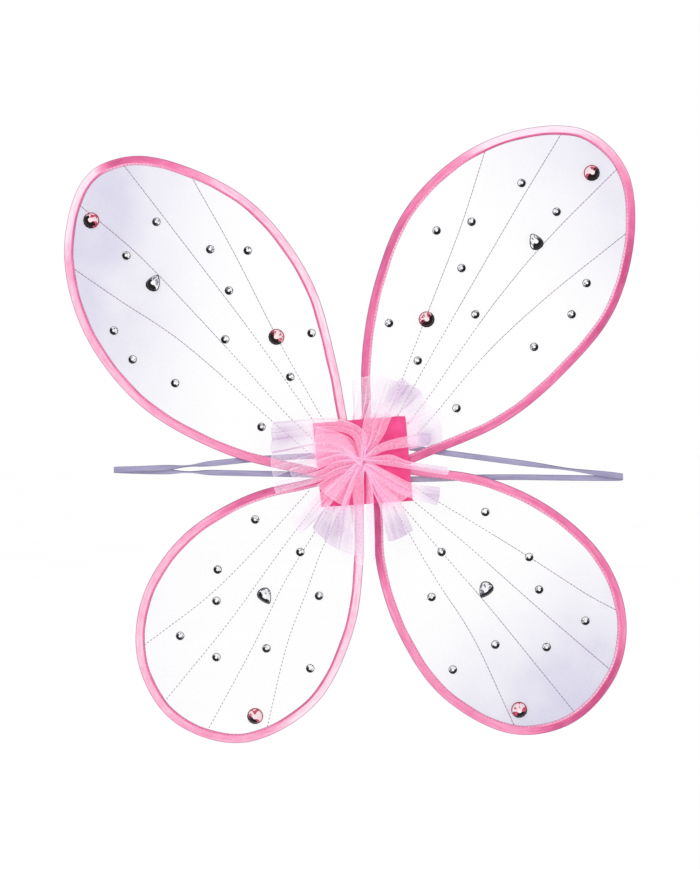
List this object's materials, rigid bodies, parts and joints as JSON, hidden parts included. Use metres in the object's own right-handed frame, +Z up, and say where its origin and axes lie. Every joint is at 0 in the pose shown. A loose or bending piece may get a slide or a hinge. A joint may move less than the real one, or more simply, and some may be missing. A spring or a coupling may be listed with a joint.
{
  "type": "fairy wings",
  "caption": "Sheer fabric wings on bound wire loops, folding forward from a small pad with a ribbon rosette and elastic shoulder loops.",
  "frame": {"origin": "middle of the back pad's back face, which rests against the wearer's back", "axes": "+Z up as worn, front with the rosette faces -Y, +X to the right as seen from the front"},
  "size_m": [0.4568, 0.0247, 0.4937],
  "materials": {
    "hot_pink_felt": "matte felt",
    "pink_satin": "satin ribbon",
    "steel_wire": "drawn wire",
    "sheer_organza": "sheer organza with a slight lavender sheen",
    "petal_organza": "sheer organza ribbon",
    "mauve_thread": "dashed stitching thread",
    "lavender_elastic": "flat woven elastic",
    "pink_gem": "faceted, foil-backed",
    "clear_gem": "faceted, foil-backed"
  },
  "bodies": {
    "pad": {"back_pad": "hot_pink_felt", "front_pad": "hot_pink_felt", "upper_left_wire_tail": "steel_wire", "upper_right_wire_tail": "steel_wire", "lower_left_wire_tail": "steel_wire", "lower_right_wire_tail": "steel_wire", "rosette_strip_1": "petal_organza", "rosette_strip_2": "petal_organza", "rosette_strip_3": "petal_organza", "rosette_strip_4": "petal_organza", "rosette_strip_5": "petal_organza", "rosette_strip_6": "petal_organza", "rosette_stitch": "mauve_thread"},
    "upper_left_wing": {"upper_left_wire": "steel_wire", "upper_left_binding": "pink_satin", "upper_left_membrane": "sheer_organza", "upper_left_vein_1": "mauve_thread", "upper_left_vein_2": "mauve_thread", "upper_left_vein_3": "mauve_thread", "upper_left_vein_4": "mauve_thread", "upper_left_pink_gem_1": "pink_gem", "upper_left_pink_gem_2": "pink_gem", "upper_left_teardrop_gem": "clear_gem"},
    "upper_right_wing": {"upper_right_wire": "steel_wire", "upper_right_binding": "pink_satin", "upper_right_membrane": "sheer_organza", "upper_right_vein_1": "mauve_thread", "upper_right_vein_2": "mauve_thread", "upper_right_vein_3": "mauve_thread", "upper_right_vein_4": "mauve_thread", "upper_right_pink_gem_1": "pink_gem", "upper_right_pink_gem_2": "pink_gem", "upper_right_teardrop_gem": "clear_gem"},
    "lower_left_wing": {"lower_left_wire": "steel_wire", "lower_left_binding": "pink_satin", "lower_left_membrane": "sheer_organza", "lower_left_vein_1": "mauve_thread", "lower_left_vein_2": "mauve_thread", "lower_left_vein_3": "mauve_thread", "lower_left_vein_4": "mauve_thread", "lower_left_pink_gem_1": "pink_gem", "lower_left_teardrop_gem": "clear_gem"},
    "lower_right_wing": {"lower_right_wire": "steel_wire", "lower_right_binding": "pink_satin", "lower_right_membrane": "sheer_organza", "lower_right_vein_1": "mauve_thread", "lower_right_vein_2": "mauve_thread", "lower_right_vein_3": "mauve_thread", "lower_right_vein_4": "mauve_thread", "lower_right_pink_gem_1": "pink_gem", "lower_right_teardrop_gem": "clear_gem"},
    "left_strap": {"left_elastic_strap": "lavender_elastic"},
    "right_strap": {"right_elastic_strap": "lavender_elastic"}
  },
  "joints": [
    {"name": "upper_left_wing_bend", "type": "hinge", "parent": "pad", "child": "upper_left_wing", "pos_m": [-0.029, -0.0051, 0.0125], "axis": [0.5052, 0, 0.863], "range_deg": [0, 45], "deforming": ["front_pad", "rosette_strip_1", "rosette_strip_2", "rosette_strip_3", "rosette_strip_4", "rosette_strip_5", "rosette_strip_6"]},
    {"name": "upper_right_wing_bend", "type": "hinge", "parent": "pad", "child": "upper_right_wing", "pos_m": [0.019, -0.0051, 0.018], "axis": [0.7282, 0, -0.6854], "range_deg": [0, 45], "deforming": ["front_pad", "rosette_strip_1", "rosette_strip_2", "rosette_strip_3", "rosette_strip_4", "rosette_strip_5", "rosette_strip_6"]},
    {"name": "lower_left_wing_bend", "type": "hinge", "parent": "pad", "child": "lower_left_wing", "pos_m": [-0.021, -0.0051, -0.0265], "axis": [-0.8508, 0, 0.5255], "range_deg": [0, 45], "deforming": ["front_pad", "rosette_strip_1", "rosette_strip_2", "rosette_strip_3", "rosette_strip_4", "rosette_strip_5", "rosette_strip_6"]},
    {"name": "lower_right_wing_bend", "type": "hinge", "parent": "pad", "child": "lower_right_wing", "pos_m": [0.026, -0.0051, -0.022], "axis": [-0.7071, 0, -0.7071], "range_deg": [0, 45], "deforming": ["front_pad", "rosette_strip_1", "rosette_strip_2", "rosette_strip_3", "rosette_strip_4", "rosette_strip_5", "rosette_strip_6"]},
    {"name": "left_strap_swing", "type": "hinge", "parent": "pad", "child": "left_strap", "pos_m": [-0.039, -0.0028, 0], "axis": [0, 0, -1], "range_deg": [0, 90], "deforming": ["left_elastic_strap"]},
    {"name": "right_strap_swing", "type": "hinge", "parent": "pad", "child": "right_strap", "pos_m": [0.037, -0.0028, 0], "axis": [0, 0, 1], "range_deg": [0, 90], "deforming": ["right_elastic_strap"]}
  ]
}
